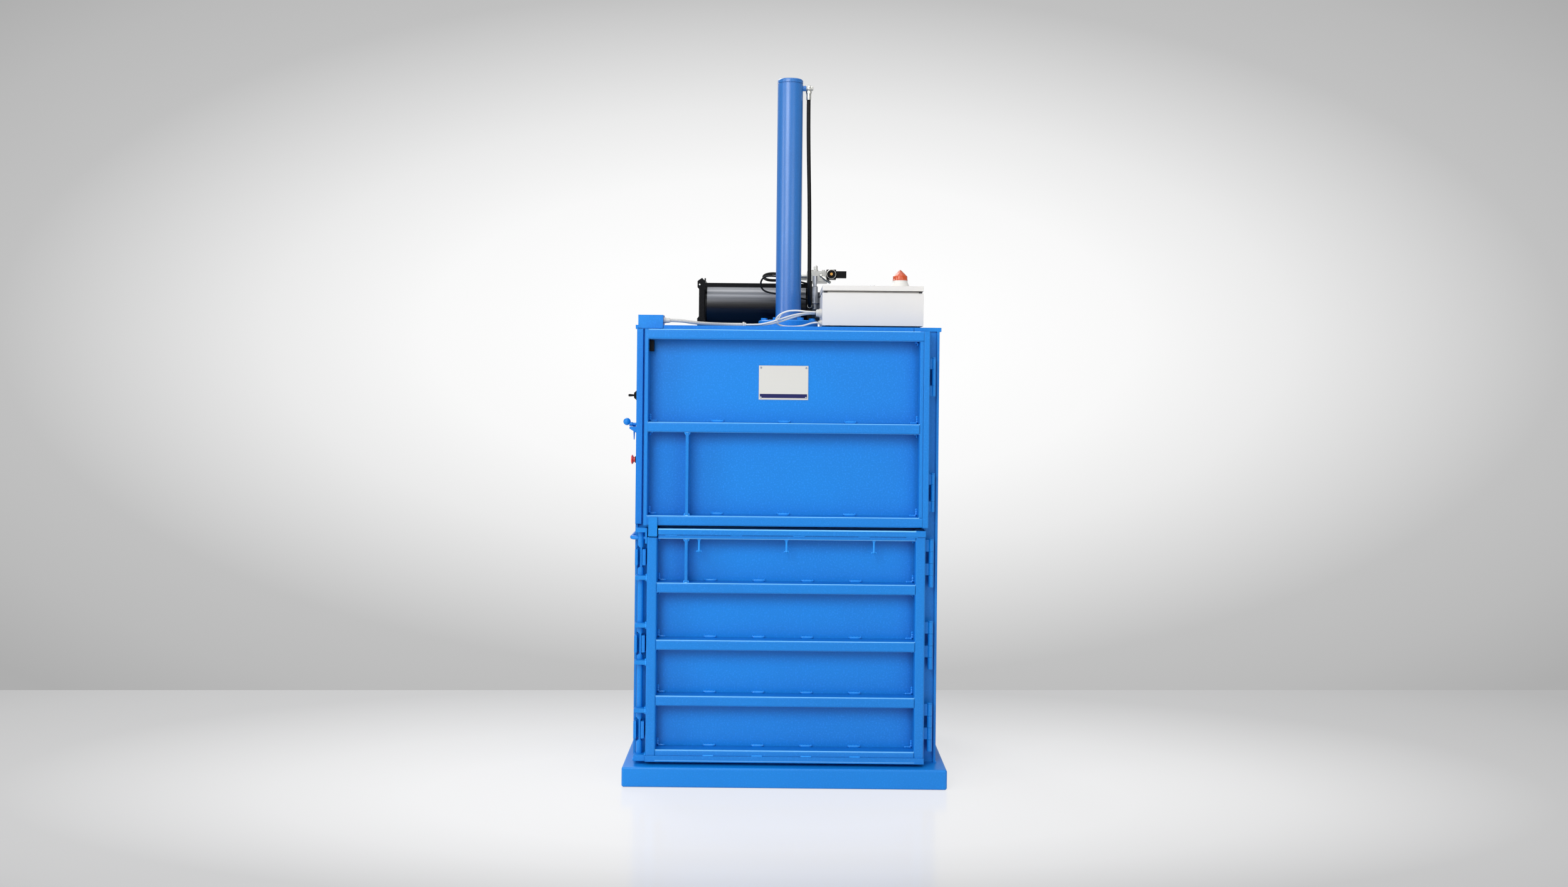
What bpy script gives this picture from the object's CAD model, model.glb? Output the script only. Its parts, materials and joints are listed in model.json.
"""Looks of a vertical recycling baler: finishes, welds, hoses, small fittings, studio and camera.

Every length is in metres and every place is in the machine's own frame: +Z up, the doors face -Y
and the origin is the middle of the plinth's underside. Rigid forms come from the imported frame;
this script dresses them and adds what is too fine for it.
"""
from __future__ import annotations

import json
import logging
import math
from dataclasses import dataclass, field
from enum import Enum
from functools import cached_property
from typing import Callable, Iterable, Iterator, Sequence

import bmesh
import bpy
from mathutils import Matrix, Vector

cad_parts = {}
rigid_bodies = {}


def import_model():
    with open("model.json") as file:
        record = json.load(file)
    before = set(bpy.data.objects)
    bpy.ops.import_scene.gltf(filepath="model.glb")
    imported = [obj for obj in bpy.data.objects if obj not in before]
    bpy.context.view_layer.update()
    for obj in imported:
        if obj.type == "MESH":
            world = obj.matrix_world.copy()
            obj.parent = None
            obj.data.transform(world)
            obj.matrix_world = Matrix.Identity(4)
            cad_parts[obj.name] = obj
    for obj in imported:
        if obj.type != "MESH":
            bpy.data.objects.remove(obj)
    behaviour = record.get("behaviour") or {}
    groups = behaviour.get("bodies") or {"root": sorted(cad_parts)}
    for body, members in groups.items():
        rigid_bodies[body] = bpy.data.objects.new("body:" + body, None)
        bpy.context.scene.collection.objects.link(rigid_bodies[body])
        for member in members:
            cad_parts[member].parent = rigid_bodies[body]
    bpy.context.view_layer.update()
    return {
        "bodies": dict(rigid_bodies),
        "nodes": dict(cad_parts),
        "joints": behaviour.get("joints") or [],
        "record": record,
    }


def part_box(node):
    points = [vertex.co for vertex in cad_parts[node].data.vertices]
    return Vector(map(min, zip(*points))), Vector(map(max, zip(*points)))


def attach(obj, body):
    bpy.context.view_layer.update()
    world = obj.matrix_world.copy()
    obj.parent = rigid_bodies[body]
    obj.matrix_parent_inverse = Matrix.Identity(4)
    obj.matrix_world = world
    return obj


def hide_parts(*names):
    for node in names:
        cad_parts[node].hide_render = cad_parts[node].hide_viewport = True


LOG = logging.getLogger("baler")
Colour = tuple[float, float, float]
Point = tuple[float, float, float]
Span = tuple[float, float]
Profile = Sequence[Span]
Turning = tuple[Profile, Point, Point, int]
Bead = tuple[Point, Point, float] | tuple[Point, Point, float, float]

X, Y, Z = range(3)
FRONTWARD, BACKWARD, RIGHTWARD, UPWARD = (0, -1, 0), (0, 1, 0), (1, 0, 0), (0, 0, 1)
CHART = "along"
# A screen's transfer curve: straight up to its knee, a power above it.
KNEE, SLOPE, LIFT, POWER = 0.04045, 12.92, 0.055, 2.4


def linear_channel(value: int) -> float:
    """Undo the screen's transfer curve for one channel.

    Args:
        value: The channel from 0 to 255.

    Returns:
        The channel in linear light, from 0 to 1.
    """
    share = value / 255
    return share / SLOPE if share <= KNEE else ((share + LIFT) / (1 + LIFT)) ** POWER


def linear(red: int, green: int, blue: int) -> Colour:
    """Turn a screen colour into the linear colour that a shader takes.

    Args:
        red: Red channel from 0 to 255.
        green: Green channel from 0 to 255.
        blue: Blue channel from 0 to 255.

    Returns:
        The same colour in linear light.
    """
    return linear_channel(red), linear_channel(green), linear_channel(blue)


def scaled(colour: Colour, factor: float, lift: float = 0.0) -> Colour:
    """Darken or lighten a colour.

    Args:
        colour: The colour, in linear light.
        factor: What each channel is multiplied by.
        lift: What is then added to it.

    Returns:
        The new colour, held at white.
    """
    return tuple(min(1.0, value * factor + lift) for value in colour)


# ------------------------------------------------------------------ shader maths
def joining(operation: str, swapped: bool = False) -> Callable[[Wire, Wire | float], Wire]:
    """Make the method behind one of a wire's operators.

    Args:
        operation: The Math node's operation.
        swapped: Put the other term first, for an operator met from its right.

    Returns:
        The method.
    """
    def method(wire: Wire, other: Wire | float) -> Wire:
        """Join a wire and another term in one Math node."""
        return wire.maths(operation, *((other, wire) if swapped else (wire, other)))

    return method


class Wire:
    """A shader socket that takes part in Python expressions."""

    def __init__(self, graph: Graph, socket: bpy.types.NodeSocket) -> None:
        """Keep the socket and the graph that it belongs to."""
        self.graph = graph
        self.socket = socket

    def maths(self, operation: str, *terms: Wire | float) -> Wire:
        """Add a Math node for an operation on these terms."""
        return self.graph.add("ShaderNodeMath", {"operation": operation}, dict(enumerate(terms)))

    # Only the operators that the finishes below use.
    __add__ = joining("ADD")
    __sub__, __rsub__ = joining("SUBTRACT"), joining("SUBTRACT", True)
    __mul__ = joining("MULTIPLY")
    __truediv__, __rtruediv__ = joining("DIVIDE"), joining("DIVIDE", True)
    __gt__, __lt__ = joining("GREATER_THAN"), joining("LESS_THAN")
    at_least = joining("MAXIMUM")

    def __abs__(self) -> Wire:
        """Give the size of this socket without its sign."""
        return self.maths("ABSOLUTE", self)

    def sine(self) -> Wire:
        """Give the sine of this socket, read as radians."""
        return self.maths("SINE", self)

    def root(self) -> Wire:
        """Give the square root of this socket."""
        return self.maths("SQRT", self)

    def wave(self) -> Wire:
        """Give the sine of this socket, brought between 0 and 1."""
        return self.sine() * 0.5 + 0.5

    def span(self, low: float, high: float, first: float = 0.0, last: float = 1.0) -> Wire:
        """Map this socket from one range to another, held at both ends.

        Args:
            low: Value that gives first.
            high: Value that gives last.
            first: Result at and before low.
            last: Result at and past high.

        Returns:
            The mapped value.
        """
        return self.graph.add("ShaderNodeMapRange", {"interpolation_type": "SMOOTHSTEP"},
                              {"Value": self, "From Min": low, "From Max": high,
                               "To Min": first, "To Max": last})

    def fall(self, low: float, high: float, first: float = 1.0) -> Wire:
        """Map this socket to a value that falls to 0 from low to high."""
        return self.span(low, high, first, 0.0)


class Graph:
    """The nodes of one material or world."""

    def __init__(self, tree: bpy.types.NodeTree) -> None:
        """Empty the tree and start anew."""
        self.tree = tree
        tree.nodes.clear()

    def add(self, kind: str, settings: dict[str, object] | None = None,
            inputs: dict[str | int, object] | None = None, output: str | int = 0) -> Wire:
        """Add a node of any type.

        Args:
            kind: Blender's name of the node's type.
            settings: The node's own properties, set before its sockets.
            inputs: Values, or wires, by socket name or number.
            output: The output to return.

        Returns:
            The chosen output as a wire.
        """
        node = self.tree.nodes.new(kind)
        for name, value in (settings or {}).items():
            if name == "stops":
                self._stops(node.color_ramp, value)
            else:
                setattr(node, name, value)
        for key, value in (inputs or {}).items():
            if isinstance(value, Wire):
                self.tree.links.new(value.socket, node.inputs[key])
            else:
                node.inputs[key].default_value = value
        return Wire(self, node.outputs[output] if len(node.outputs) else None)

    @staticmethod
    def _stops(ramp: bpy.types.ColorRamp, stops: Sequence[tuple[float, Colour]]) -> None:
        """Set a ramp's stops from pairs of place and colour.

        Args:
            ramp: The ramp of a colour ramp node.
            stops: Pairs of place and colour, in order.
        """
        while len(ramp.elements) > 1:
            ramp.elements.remove(ramp.elements[-1])
        for index, (place, colour) in enumerate(stops):
            element = ramp.elements[0] if index == 0 else ramp.elements.new(place)
            element.position = place
            element.color = (*colour, 1)

    def parts(self, vector: Wire) -> list[Wire]:
        """Split a vector into its three parts."""
        split = self.add("ShaderNodeSeparateXYZ", inputs={0: vector})
        return [Wire(self, output) for output in split.socket.node.outputs]

    @cached_property
    def where(self) -> Wire:
        """The object's own coordinates as a vector, in metres."""
        return self.add("ShaderNodeTexCoord", output="Object")

    @cached_property
    def _axes(self) -> list[Wire]:
        """The three parts of the object's own coordinates."""
        return self.parts(self.where)

    def place(self, axis: int) -> Wire:
        """Give one coordinate of the object's own space, in metres."""
        return self._axes[axis]

    def chart(self) -> tuple[Wire, Wire]:
        """Give the share of a turn round a cord and the length along it, from its UV map."""
        around, along, _ = self.parts(self.add("ShaderNodeUVMap", {"uv_map": CHART}))
        return around, along

    def noise(self, scale: float, detail: float = 2.0, stretch: Point = (1, 1, 1),
              roughness: float = 0.5) -> Wire:
        """Add noise over the object's own space.

        Args:
            scale: Features a metre.
            detail: Octaves.
            stretch: Scale along each axis.
            roughness: Weight of the finer octaves.

        Returns:
            The noise from 0 to 1.
        """
        spot = self.add("ShaderNodeMapping", inputs={"Vector": self.where, "Scale": stretch})
        return self.add("ShaderNodeTexNoise", inputs={"Vector": spot, "Scale": scale,
                                                      "Detail": detail, "Roughness": roughness})

    def mix(self, share: Wire | float, first: Wire | Colour, second: Wire | Colour) -> Wire:
        """Mix two colours.

        Args:
            share: How much of the second.
            first: Colour at 0.
            second: Colour at 1.

        Returns:
            The mixed colour.
        """
        factor, low, high = 0, 6, 7
        ends = {socket: colour if isinstance(colour, Wire) else (*colour, 1)
                for socket, colour in ((low, first), (high, second))}
        return self.add("ShaderNodeMix", {"data_type": "RGBA"}, {factor: share, **ends}, output=2)

    def rounded_edge(self, radius: float) -> Wire:
        """Give the surface normal with its sharp edges eased by a radius."""
        return self.add("ShaderNodeBevel", {"samples": 4}, {"Radius": radius})

    def bump(self, height: Wire, distance: float, strength: float,
             under: Wire | None = None) -> Wire:
        """Raise the surface by a height.

        Args:
            height: Height from 0 to 1.
            distance: Real height of 1, in metres.
            strength: Share of the effect.
            under: Normal to start from.

        Returns:
            The new normal.
        """
        start = {} if under is None else {"Normal": under}
        return self.add("ShaderNodeBump", inputs={"Height": height, "Distance": distance,
                                                  "Strength": strength, **start})

    def surface(self, **inputs: object) -> None:
        """Add the Principled shader and the output that it feeds.

        Args:
            inputs: Values, or wires, by socket name with underscores for spaces.
        """
        named = {key.replace("_", " "): value for key, value in inputs.items()}
        shader = self.add("ShaderNodeBsdfPrincipled", inputs=named)
        self.add("ShaderNodeOutputMaterial", inputs={"Surface": shader})


# ------------------------------------------------------------------ finishes
@dataclass(frozen=True)
class Finish:
    """A finish with a name and one way to make its material."""

    name: str

    def dress(self, graph: Graph) -> None:
        """Build the shader in an empty graph."""
        raise NotImplementedError

    def material(self) -> bpy.types.Material:
        """Give the finish's material, made once.

        Returns:
            The material.
        """
        found = bpy.data.materials.get(self.name)
        if found is None:
            found = bpy.data.materials.new(self.name)
            found.use_nodes = True
            self.dress(Graph(found.node_tree))
        return found


@dataclass(frozen=True)
class Spray:
    """How a sprayed coat varies: features a metre, and shares of tone, height and roughness."""

    drift_scale: float = 2.3
    drift_span: Span = (0.35, 0.70)
    drift_share: float = 0.30
    peel_scale: float = 170.0
    peel_span: Span = (0.50, 0.70)
    peel_share: float = 0.30
    grain_scale: float = 620.0
    grain_height: float = 0.25
    drift_rough: float = 0.07
    mottle_scale: float = 60.0
    mottle_rough: float = 0.05
    clear_coat: float = 0.10


SHEET_SPRAY = Spray(1.7, (0.30, 0.75), 0.35, 150.0, (0.50, 0.68), 0.34, 560.0, 0.30, 0.08,
                    mottle_rough=0.0, clear_coat=0.08)


@dataclass(frozen=True)
class SprayedPaint(Finish):
    """Glossy machine paint with the fine peel and slow drift of tone of a sprayed coat."""

    colour: Colour
    shade: Colour
    roughness: float = 0.36
    peel: float = 0.00022
    edge: float = 0.0026
    gloss: float = 0.28
    spray: Spray = Spray()

    def dress(self, graph: Graph) -> None:
        """Drift the tone, speckle it with the peel of the spray and ease the edges.

        Args:
            graph: Nodes of the material.
        """
        spray = self.spray
        drift = graph.noise(spray.drift_scale, 4.0).span(*spray.drift_span)
        peel, grain = graph.noise(spray.peel_scale), graph.noise(spray.grain_scale)
        tone = graph.mix(drift * spray.drift_share, self.colour, self.shade)
        tone = graph.mix(peel.span(*spray.peel_span) * spray.peel_share, tone,
                         scaled(self.colour, 1.3, 0.012))
        height = peel * (1 - spray.grain_height) + grain * spray.grain_height
        under = graph.rounded_edge(self.edge) if self.edge else None
        rough = drift * spray.drift_rough + self.roughness
        if spray.mottle_rough:
            rough = rough + graph.noise(spray.mottle_scale) * spray.mottle_rough
        graph.surface(Base_Color=self.lit(graph, tone), Roughness=rough,
                      Normal=graph.bump(height, self.peel, 0.9, under),
                      Coat_Weight=spray.clear_coat, Coat_Roughness=0.2,
                      Specular_IOR_Level=self.gloss)

    def lit(self, graph: Graph, tone: Wire) -> Wire:
        """Leave the tone as it is; a paint with edges or corners of its own changes it.

        Args:
            graph: Nodes of the material.
            tone: The coat's colour.

        Returns:
            The colour to use.
        """
        return tone


@dataclass(frozen=True)
class RailPaint(SprayedPaint):
    """The paint of a door's frame, drawn thin and pale over the rails' rounded edges."""

    levels: tuple[float, ...] = ()
    height: float = 0.0
    front: float = 0.0
    sides: Span = (-1.0, 1.0)
    thin: Colour = linear(128, 206, 255)
    top_line: Span = (0.0014, 0.0036)
    low_line: Span = (0.0005, 0.0020)
    depth: Span = (0.0085, 0.0095)

    def lit(self, graph: Graph, tone: Wire) -> Wire:
        """Pale the coat along the front edges of each rail.

        Args:
            graph: Nodes of the material.
            tone: The coat's colour.

        Returns:
            The colour to use.
        """
        up, ahead, across = graph.place(Z), graph.place(Y), graph.place(X)
        tops = [abs(up - (level + self.height)).fall(*self.top_line) for level in self.levels]
        lows = [abs(up - level).fall(*self.low_line, 0.7) for level in self.levels]
        line = sum(tops[1:] + lows, tops[0]).span(0.0, 1.0)
        near = abs(ahead - self.front).fall(*self.depth)
        left, right = across - self.sides[0], self.sides[1] - across
        within = left.span(0.0, 0.002) * right.span(0.0, 0.002)
        return graph.mix(line * near * within * 0.80, tone, self.thin)


@dataclass(frozen=True)
class DoorSheetPaint(SprayedPaint):
    """The same paint on a door's sheet, thinner and darker in the corners the spray misses."""

    peel: float = 0.000286
    edge: float = 0.0
    spray: Spray = SHEET_SPRAY
    sides: Span = (-1.0, 1.0)
    inside: float = 0.0
    rails: tuple[float, ...] = ()
    borders: Span = (0.036, 0.028)
    shadow: Span = (0.019, 0.105)
    lip: Span = (0.019, 0.026)

    def lit(self, graph: Graph, tone: Wire) -> Wire:
        """Darken the sheet's outer face in the last centimetres before each rail and stile.

        Args:
            graph: Nodes of the material.
            tone: The coat's colour.

        Returns:
            The colour to use.
        """
        up, across = graph.place(Z), graph.place(X)
        near = ((across - self.sides[0]).fall(0.0, self.borders[0])
                + (self.sides[1] - across).fall(0.0, self.borders[1]))
        for rail in self.rails:
            under = rail - up
            near = near + under.fall(*self.shadow) * (under > 0.0)
            near = near + abs(up - rail).fall(*self.lip, 0.5)
        near = near.span(0.0, 1.2) * (graph.place(Y) < self.inside)
        return graph.mix(near * 0.40, tone, scaled(self.shade, 0.5))


@dataclass(frozen=True)
class StructurePaint(Finish):
    """Light grey enclosure paint with a fine leathery texture."""

    colour: Colour

    def dress(self, graph: Graph) -> None:
        """Roughen the coat and grey it in its folds.

        Args:
            graph: Nodes of the material.
        """
        grain = graph.noise(700.0, 3.0, roughness=0.6)
        drift = graph.noise(3.0, 3.0).span(0.3, 0.7)
        tone = graph.mix(drift * 0.12, self.colour, scaled(self.colour, 0.86))
        normal = graph.bump(grain, 0.00012, 0.7, graph.rounded_edge(0.0015))
        graph.surface(Base_Color=tone, Roughness=grain * 0.12 + 0.42, Normal=normal,
                      Specular_IOR_Level=0.45)


@dataclass(frozen=True)
class BareMetal(Finish):
    """Bare or plated metal, drawn or ground along one axis."""

    colour: Colour
    roughness: float = 0.28
    grain_along: Point = (1, 1, 1)
    depth: float = 0.00002

    def dress(self, graph: Graph) -> None:
        """Streak the metal along its grain.

        Args:
            graph: Nodes of the material.
        """
        streak = graph.noise(500.0, 3.0, self.grain_along)
        drift = graph.noise(14.0, 3.0).span(0.35, 0.7)
        tone = graph.mix(drift * 0.3, self.colour, scaled(self.colour, 0.68))
        rough = streak * 0.16 + self.roughness + drift * 0.08
        normal = graph.bump(streak, self.depth, 0.6, graph.rounded_edge(0.0006))
        graph.surface(Base_Color=tone, Metallic=1.0, Roughness=rough, Normal=normal)


@dataclass(frozen=True)
class TankCoat(Finish):
    """Black gloss coat on the oil tank, paler and finely lined on the drum's upper half."""

    axis_height: float
    radius: float
    colour: Colour = linear(12, 13, 15)
    crown: Colour = linear(196, 198, 203)
    belly: Colour = linear(3, 5, 16)
    smear: Colour = linear(40, 42, 46)

    def dress(self, graph: Graph) -> None:
        """Fade the drum from a worn pale crown to black, line it lengthwise and smudge it.

        Args:
            graph: Nodes of the material.
        """
        up = (graph.place(Z) - self.axis_height) / self.radius
        streak = graph.noise(260.0, 2.0, (0.01, 1, 1))
        smudge = graph.noise(16.0, 3.0, (0.6, 1, 1)).span(0.60, 0.72)
        worn = up.span(0.02, 0.86) * (streak * 0.5 + 0.7).span(0.0, 1.25)
        tone = graph.mix(worn, self.colour, self.crown)
        tone = graph.mix(up.fall(-0.12, 0.10), tone, self.belly)
        tone = graph.mix(smudge * 0.45, tone, self.smear)
        graph.surface(Base_Color=tone, Roughness=streak * 0.14 + 0.22, Metallic=0.25,
                      Normal=graph.bump(streak, 0.00003, 0.8), Coat_Weight=0.15,
                      Coat_Roughness=0.12, Specular_IOR_Level=0.3)


@dataclass(frozen=True)
class BlockOnPlate(Finish):
    """Machined alloy block above a seam, and the black painted plate that carries it below."""

    seam: float
    alloy: Colour = linear(216, 216, 210)
    paint: Colour = linear(9, 9, 11)

    def dress(self, graph: Graph) -> None:
        """Tell block and plate apart by their height.

        Args:
            graph: Nodes of the material.
        """
        grain = graph.noise(420.0, 2.0, (0.1, 1, 1))
        painted = graph.place(Z).fall(self.seam - 0.0005, self.seam)
        milled = graph.mix(grain * 0.25, self.alloy, scaled(self.alloy, 0.72))
        normal = graph.bump(grain, 0.00002, 0.5, graph.rounded_edge(0.001))
        graph.surface(Base_Color=graph.mix(painted, milled, self.paint), Normal=normal,
                      Roughness=grain * 0.10 + 0.32, Metallic=(1.0 - painted) * 0.45,
                      Specular_IOR_Level=0.2)


@dataclass(frozen=True)
class MouldedPlastic(Finish):
    """Moulded plastic with a fine spark-eroded grain."""

    colour: Colour
    roughness: float = 0.45
    grain: float = 0.00003
    gloss: float = 0.5

    def dress(self, graph: Graph) -> None:
        """Pit the surface lightly.

        Args:
            graph: Nodes of the material.
        """
        pits = graph.noise(1600.0)
        tone = graph.mix(graph.noise(20.0) * 0.2, self.colour, scaled(self.colour, 0.8))
        normal = graph.bump(pits, self.grain, 0.8, graph.rounded_edge(0.0006))
        graph.surface(Base_Color=tone, Roughness=pits * 0.1 + self.roughness, Normal=normal,
                      Specular_IOR_Level=self.gloss)


@dataclass(frozen=True)
class HoseRubber(Finish):
    """Black hose cover with the cloth marks of its wrapped cure, laid along the hose."""

    colour: Colour
    turns: float = 260.0

    def dress(self, graph: Graph) -> None:
        """Wind a shallow helix of cloth marks round the hose by its own UV map.

        Args:
            graph: Nodes of the material.
        """
        around, along = graph.chart()
        weave = ((along * self.turns + around) * math.tau).wave()
        tone = graph.mix(weave * 0.25, self.colour, scaled(self.colour, 1.9, 0.002))
        graph.surface(Base_Color=tone, Roughness=graph.noise(160.0) * 0.18 + 0.42,
                      Normal=graph.bump(weave, 0.00015, 0.5), Specular_IOR_Level=0.22)


@dataclass(frozen=True)
class RibbedConduit(Finish):
    """Flexible conduit cover with fine rings along its own UV map."""

    colour: Colour
    rings: float = 220.0
    depth: float = 0.0004

    def dress(self, graph: Graph) -> None:
        """Ring the cover at an even step.

        Args:
            graph: Nodes of the material.
        """
        _, along = graph.chart()
        ring = (along * self.rings * math.tau).wave()
        tone = graph.mix(ring.fall(0.0, 0.5, 0.6), self.colour, scaled(self.colour, 0.45))
        graph.surface(Base_Color=tone, Roughness=graph.noise(300.0) * 0.15 + 0.36,
                      Normal=graph.bump(ring, self.depth, 0.8))


@dataclass(frozen=True)
class AmberLens(Finish):
    """Clear amber plastic with moulded upright ribs."""

    centre: Span
    colour: Colour = linear(226, 86, 6)
    ribs: float = 36.0

    def dress(self, graph: Graph) -> None:
        """Rib the lens round its own centre.

        Args:
            graph: Nodes of the material.
        """
        across, back = graph.place(X) - self.centre[0], graph.place(Y) - self.centre[1]
        rib = (back.maths("ARCTAN2", back, across) * self.ribs).wave()
        tone = graph.mix(rib * 0.45, self.colour, scaled(self.colour, 0.4))
        graph.surface(Base_Color=tone, Roughness=rib * 0.05 + 0.12,
                      Normal=graph.bump(rib, 0.0009, 0.8), Transmission_Weight=0.30, IOR=1.49,
                      Coat_Weight=0.5, Coat_Roughness=0.05, Emission_Color=tone,
                      Emission_Strength=0.08)


@dataclass(frozen=True)
class PlateFace(Finish):
    """Pale printed sheet with one plain band along its lower edge and a thin rim."""

    low: Point
    high: Point
    ground: Colour = linear(213, 212, 206)
    band: Colour = linear(12, 17, 86)
    rim: Colour = linear(150, 156, 170)
    inset: float = 0.004

    def dress(self, graph: Graph) -> None:
        """Lay the band and the rim over the pale ground.

        Args:
            graph: Nodes of the material.
        """
        up, across = graph.place(Z), graph.place(X)
        height = self.high[Z] - self.low[Z]
        rise = up - self.low[Z]
        sides = (across - self.low[X], self.high[X] - across)
        band = (rise.span(height * 0.045, height * 0.055)
                * rise.fall(height * 0.165, height * 0.175))
        for side in sides:
            band = band * side.span(self.inset, self.inset + 0.001)
        borders = [gap.fall(0.001, 0.0018) for gap in (*sides, rise, self.high[Z] - up)]
        rim = sum(borders[1:], borders[0]).span(0.0, 1.0)
        brushed = graph.noise(350.0, 2.0, (0.03, 1, 1))
        tone = graph.mix(brushed * 0.12, self.ground, scaled(self.ground, 0.8))
        tone = graph.mix(rim * 0.5, graph.mix(band, tone, self.band), self.rim)
        graph.surface(Base_Color=tone, Roughness=brushed * 0.12 + 0.28, Metallic=0.25,
                      Normal=graph.bump(brushed, 0.00001, 0.5))


class Paint(Enum):
    """The finishes that several parts of the machine share."""

    FRAME = SprayedPaint("frame_blue", linear(10, 126, 211), linear(6, 112, 198))
    RAIL = SprayedPaint("rail_blue", linear(10, 125, 209), linear(7, 114, 198), 0.34, edge=0.0042)
    CHAMBER = SprayedPaint("chamber_blue", linear(8, 104, 184), linear(5, 86, 160), 0.42)
    WELD = SprayedPaint("weld_blue", linear(38, 150, 236), linear(24, 134, 222), 0.30,
                        0.00012, 0.0003)
    CYLINDER = SprayedPaint("cylinder_blue", linear(14, 104, 180), linear(10, 90, 164), 0.30,
                            0.00016, gloss=0.80)
    ENCLOSURE = StructurePaint("enclosure_grey", linear(220, 217, 212))
    ZINC = BareMetal("zinc_plate", linear(220, 220, 214), 0.26, (1, 1, 0.2))
    BRASS = BareMetal("brass", linear(200, 150, 80), 0.25)
    CHROME = BareMetal("rod_chrome", linear(214, 216, 220), 0.08, (1, 1, 0.05), 0.000005)
    ALLOY = BareMetal("machined_alloy", linear(190, 194, 200), 0.30, (0.1, 1, 1))
    BLACK_STEEL = SprayedPaint("black_bracket", linear(8, 8, 10), linear(5, 5, 7), 0.34,
                               0.00008, gloss=0.06)
    MOTOR = SprayedPaint("motor_grey", linear(66, 70, 76), linear(52, 56, 62), 0.45, 0.00008)
    BLACK = MouldedPlastic("black_moulding", linear(10, 10, 12), 0.42, gloss=0.12)
    GREY = MouldedPlastic("grey_moulding", linear(204, 202, 196), 0.40)
    BEACON = MouldedPlastic("beacon_base_white", linear(221, 220, 216), 0.3)
    CABLE = MouldedPlastic("cable_grey", linear(218, 216, 210), 0.34)
    TIE = MouldedPlastic("cable_tie", linear(196, 198, 202), 0.3)
    RED = MouldedPlastic("stop_red", linear(206, 26, 22), 0.22, 0.00001)
    RUBBER = MouldedPlastic("foot_rubber", linear(24, 24, 25), 0.7)
    HOSE = HoseRubber("hose_cover", linear(7, 7, 8))
    CONDUIT = RibbedConduit("conduit_cover", linear(202, 201, 197))

    def material(self) -> bpy.types.Material:
        """Give the finish's material."""
        return self.value.material()


# ------------------------------------------------------------------ mesh helpers
def stand(name: str, data: bpy.types.ID) -> bpy.types.Object:
    """Put an object into the scene.

    Args:
        name: Its name.
        data: The mesh, curve, light or camera that it holds.

    Returns:
        The object.
    """
    thing = bpy.data.objects.new(name, data)
    bpy.context.scene.collection.objects.link(thing)
    return thing


def fresh_verts(geometry: Iterable[object]) -> list[bmesh.types.BMVert]:
    """Pick the vertices out of what a mesh operator returned."""
    return [item for item in geometry if isinstance(item, bmesh.types.BMVert)]


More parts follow.
